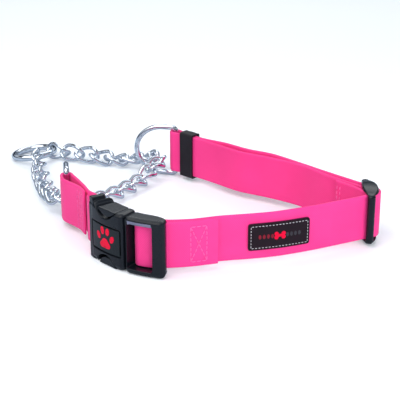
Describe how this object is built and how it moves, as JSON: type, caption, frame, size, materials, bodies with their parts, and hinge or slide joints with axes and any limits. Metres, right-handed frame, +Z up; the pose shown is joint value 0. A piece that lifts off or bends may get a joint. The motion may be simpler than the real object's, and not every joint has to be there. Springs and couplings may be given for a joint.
{
  "type": "martingale dog collar",
  "caption": "Pink webbing martingale dog collar with a side-release buckle, tri-glide slider, D-rings and a chrome control chain on a leash ring.",
  "frame": {"origin": "centre of the footprint, on the table under the standing webbing", "axes": "+Z up, along the width of the webbing; +X along the collar towards the tri-glide slider; +Y away from the front run that carries the label"},
  "size_m": [0.2152, 0.191, 0.032],
  "materials": {
    "black_plastic": "satin black moulded acetal",
    "badge_panel": "smooth black inlay in the buckle face",
    "pink_webbing": "bright pink nylon webbing, close weave",
    "black_elastic": "black woven elastic",
    "black_leather": "black patch with a stitched edge",
    "chrome_wire": "bright plated steel wire"
  },
  "bodies": {
    "collar_back": {"buckle_female_shell": "black_plastic", "buckle_badge_panel": "badge_panel", "webbing_short": "pink_webbing", "webbing_back": "pink_webbing"},
    "front_strap": {"webbing_front": "pink_webbing", "webbing_inner_end": "pink_webbing", "label_patch": "black_leather"},
    "male_half": {"buckle_male_frame": "black_plastic"},
    "upper_prong": {"prong_upper": "black_plastic"},
    "lower_prong": {"prong_lower": "black_plastic"},
    "slider": {"triglide_slider": "black_plastic"},
    "keeper": {"keeper_band": "black_elastic"},
    "right_d_ring": {"d_ring_right": "chrome_wire"},
    "left_d_ring": {"d_ring_left": "chrome_wire"},
    "leash": {"leash_ring": "chrome_wire"},
    "link_01": {"chain_link_01": "chrome_wire"},
    "link_02": {"chain_link_02": "chrome_wire"},
    "link_03": {"chain_link_03": "chrome_wire"},
    "link_04": {"chain_link_04": "chrome_wire"},
    "link_05": {"chain_link_05": "chrome_wire"},
    "link_06": {"chain_link_06": "chrome_wire"},
    "link_07": {"chain_link_07": "chrome_wire"},
    "link_08": {"chain_link_08": "chrome_wire"},
    "link_09": {"chain_link_09": "chrome_wire"},
    "link_10": {"chain_link_10": "chrome_wire"},
    "link_11": {"chain_link_11": "chrome_wire"},
    "link_12": {"chain_link_12": "chrome_wire"},
    "link_13": {"chain_link_13": "chrome_wire"},
    "link_14": {"chain_link_14": "chrome_wire"},
    "link_15": {"chain_link_15": "chrome_wire"},
    "link_16": {"chain_link_16": "chrome_wire"},
    "link_17": {"chain_link_17": "chrome_wire"},
    "link_18": {"chain_link_18": "chrome_wire"},
    "link_19": {"chain_link_19": "chrome_wire"},
    "link_20": {"chain_link_20": "chrome_wire"},
    "link_21": {"chain_link_21": "chrome_wire"},
    "link_22": {"chain_link_22": "chrome_wire"},
    "link_23": {"chain_link_23": "chrome_wire"},
    "link_24": {"chain_link_24": "chrome_wire"}
  },
  "joints": [
    {"name": "webbing_swing", "type": "hinge", "parent": "collar_back", "child": "front_strap", "pos_m": [0.03425, 0.01401, 0.016], "axis": [0, 0, 1], "range_deg": [0, 17], "deforming": ["webbing_back", "prong_upper", "prong_lower"]},
    {"name": "male_pivot", "type": "hinge", "parent": "front_strap", "child": "male_half", "pos_m": [-0.01734, -0.08336, 0.016], "axis": [0, 0, 1], "range_deg": [-17, 0]},
    {"name": "prong_upper_squeeze", "type": "hinge", "parent": "male_half", "child": "upper_prong", "pos_m": [-0.02312, -0.08222, 0.0259], "axis": [-0.5569, -0.8306, 0], "range_deg": [0, 5]},
    {"name": "prong_lower_squeeze", "type": "hinge", "parent": "male_half", "child": "lower_prong", "pos_m": [-0.02312, -0.08222, 0.0061], "axis": [0.5569, 0.8306, 0], "range_deg": [0, 5]},
    {"name": "slider_rock", "type": "hinge", "parent": "front_strap", "child": "slider", "pos_m": [0.1, -0.04578, 0.016], "axis": [0, 0, 1], "range_deg": [-2, 2]},
    {"name": "keeper_slide", "type": "slide", "parent": "collar_back", "child": "keeper", "axis": [0.7349, -0.6782, 0], "range_m": [0, 0.008]},
    {"name": "d_ring_right_swivel", "type": "hinge", "parent": "collar_back", "child": "right_d_ring", "pos_m": [-0.003, 0.05162, 0.016], "axis": [0, 0, 1], "range_deg": [-0.8, 12]},
    {"name": "d_ring_left_swivel", "type": "hinge", "parent": "collar_back", "child": "left_d_ring", "pos_m": [-0.061, -0.02158, 0.016], "axis": [0, 0, 1], "range_deg": [-8.2, 0.5]},
    {"name": "leash_lift", "type": "hinge", "parent": "collar_back", "child": "leash", "pos_m": [-0.07265, 0.00063, 0.00707], "axis": [0.5909, 0.8067, -0.0031], "range_deg": [0, 35]},
    {"name": "chain_link_01_roll", "type": "hinge", "parent": "leash", "child": "link_01", "pos_m": [-0.07772, 0.07851, 0.006], "axis": [0.9471, -0.3208, 0], "range_deg": [-12, 12]},
    {"name": "chain_link_02_roll", "type": "hinge", "parent": "leash", "child": "link_02", "pos_m": [-0.06846, 0.07547, 0.006], "axis": [0.9534, -0.3018, 0], "range_deg": [-12, 12]},
    {"name": "chain_link_03_roll", "type": "hinge", "parent": "leash", "child": "link_03", "pos_m": [-0.05914, 0.07262, 0.00581], "axis": [0.9586, -0.2823, -0.0382], "range_deg": [-12, 12]},
    {"name": "chain_link_04_roll", "type": "hinge", "parent": "leash", "child": "link_04", "pos_m": [-0.04978, 0.06997, 0.00512], "axis": [0.9596, -0.2618, -0.1032], "range_deg": [-12, 12]},
    {"name": "chain_link_05_roll", "type": "hinge", "parent": "leash", "child": "link_05", "pos_m": [-0.04036, 0.0675, 0.0046], "axis": [0.9698, -0.2437, -0.0038], "range_deg": [-12, 12]},
    {"name": "chain_link_06_roll", "type": "hinge", "parent": "leash", "child": "link_06", "pos_m": [-0.03089, 0.06522, 0.0057], "axis": [0.9496, -0.2184, 0.2248], "range_deg": [-12, 12]},
    {"name": "chain_link_07_roll", "type": "hinge", "parent": "collar_back", "child": "link_07", "pos_m": [-0.02137, 0.06313, 0.00768], "axis": [0.9641, -0.2015, 0.173], "range_deg": [-5.8, 12]},
    {"name": "chain_link_08_roll", "type": "hinge", "parent": "collar_back", "child": "link_08", "pos_m": [-0.01483, 0.05703, 0.00867], "axis": [0.3255, -0.9452, 0.024], "range_deg": [-11.4, 1]},
    {"name": "chain_link_09_roll", "type": "hinge", "parent": "collar_back", "child": "link_09", "pos_m": [-0.01541, 0.04673, 0.00824], "axis": [-0.408, -0.9077, -0.0983], "range_deg": [-12, 11.4]},
    {"name": "chain_link_10_roll", "type": "hinge", "parent": "collar_back", "child": "link_10", "pos_m": [-0.02039, 0.03656, 0.0062], "axis": [-0.4535, -0.8547, -0.2525], "range_deg": [-12, 12]},
    {"name": "chain_link_11_roll", "type": "hinge", "parent": "collar_back", "child": "link_11", "pos_m": [-0.02597, 0.02682, 0.00452], "axis": [-0.526, -0.8496, -0.0388], "range_deg": [-12, 12]},
    {"name": "chain_link_12_roll", "type": "hinge", "parent": "collar_back", "child": "link_12", "pos_m": [-0.03217, 0.01753, 0.0043], "axis": [-0.5823, -0.813, 0], "range_deg": [-12, 12]},
    {"name": "chain_link_13_roll", "type": "hinge", "parent": "collar_back", "child": "link_13", "pos_m": [-0.03897, 0.00867, 0.00445], "axis": [-0.6353, -0.7718, 0.0273], "range_deg": [-12, 12]},
    {"name": "chain_link_14_roll", "type": "hinge", "parent": "collar_back", "child": "link_14", "pos_m": [-0.04639, 0.00025, 0.00601], "axis": [-0.6652, -0.7065, 0.2417], "range_deg": [-12, 12]},
    {"name": "chain_link_15_roll", "type": "hinge", "parent": "collar_back", "child": "link_15", "pos_m": [-0.05442, -0.00774, 0.00811], "axis": [-0.7262, -0.6767, 0.121], "range_deg": [0, 12]},
    {"name": "chain_link_16_roll", "type": "hinge", "parent": "collar_back", "child": "link_16", "pos_m": [-0.06384, -0.01035, 0.00877], "axis": [-0.9719, 0.2351, -0.0058], "range_deg": [0, 3]},
    {"name": "chain_link_17_roll", "type": "hinge", "parent": "collar_back", "child": "link_17", "pos_m": [-0.07087, -0.00423, 0.00791], "axis": [-0.3408, 0.9266, -0.1591], "range_deg": [-12, 0]},
    {"name": "chain_link_18_roll", "type": "hinge", "parent": "leash", "child": "link_18", "pos_m": [-0.0743, 0.00551, 0.00583], "axis": [-0.3113, 0.9213, -0.2331], "range_deg": [-12, 4]},
    {"name": "chain_link_19_roll", "type": "hinge", "parent": "leash", "child": "link_19", "pos_m": [-0.07748, 0.01533, 0.00445], "axis": [-0.2947, 0.9552, -0.0289], "range_deg": [-12, 12]},
    {"name": "chain_link_20_roll", "type": "hinge", "parent": "leash", "child": "link_20", "pos_m": [-0.08038, 0.02521, 0.00437], "axis": [-0.2692, 0.963, 0.0132], "range_deg": [-12, 12]},
    {"name": "chain_link_21_roll", "type": "hinge", "parent": "leash", "child": "link_21", "pos_m": [-0.08302, 0.03516, 0.00494], "axis": [-0.2422, 0.9653, 0.0972], "range_deg": [-12, 12]},
    {"name": "chain_link_22_roll", "type": "hinge", "parent": "leash", "child": "link_22", "pos_m": [-0.08539, 0.04518, 0.00572], "axis": [-0.2171, 0.9747, 0.0541], "range_deg": [-12, 12]},
    {"name": "chain_link_23_roll", "type": "hinge", "parent": "leash", "child": "link_23", "pos_m": [-0.0875, 0.05528, 0.006], "axis": [-0.1913, 0.9815, 0], "range_deg": [-12, 12]},
    {"name": "chain_link_24_roll", "type": "hinge", "parent": "leash", "child": "link_24", "pos_m": [-0.08934, 0.06544, 0.006], "axis": [-0.1652, 0.9863, 0], "range_deg": [-12, 4.2]}
  ],
  "couplings": [
    {"joint": "male_pivot", "follows": "webbing_swing", "ratio": -1}
  ]
}
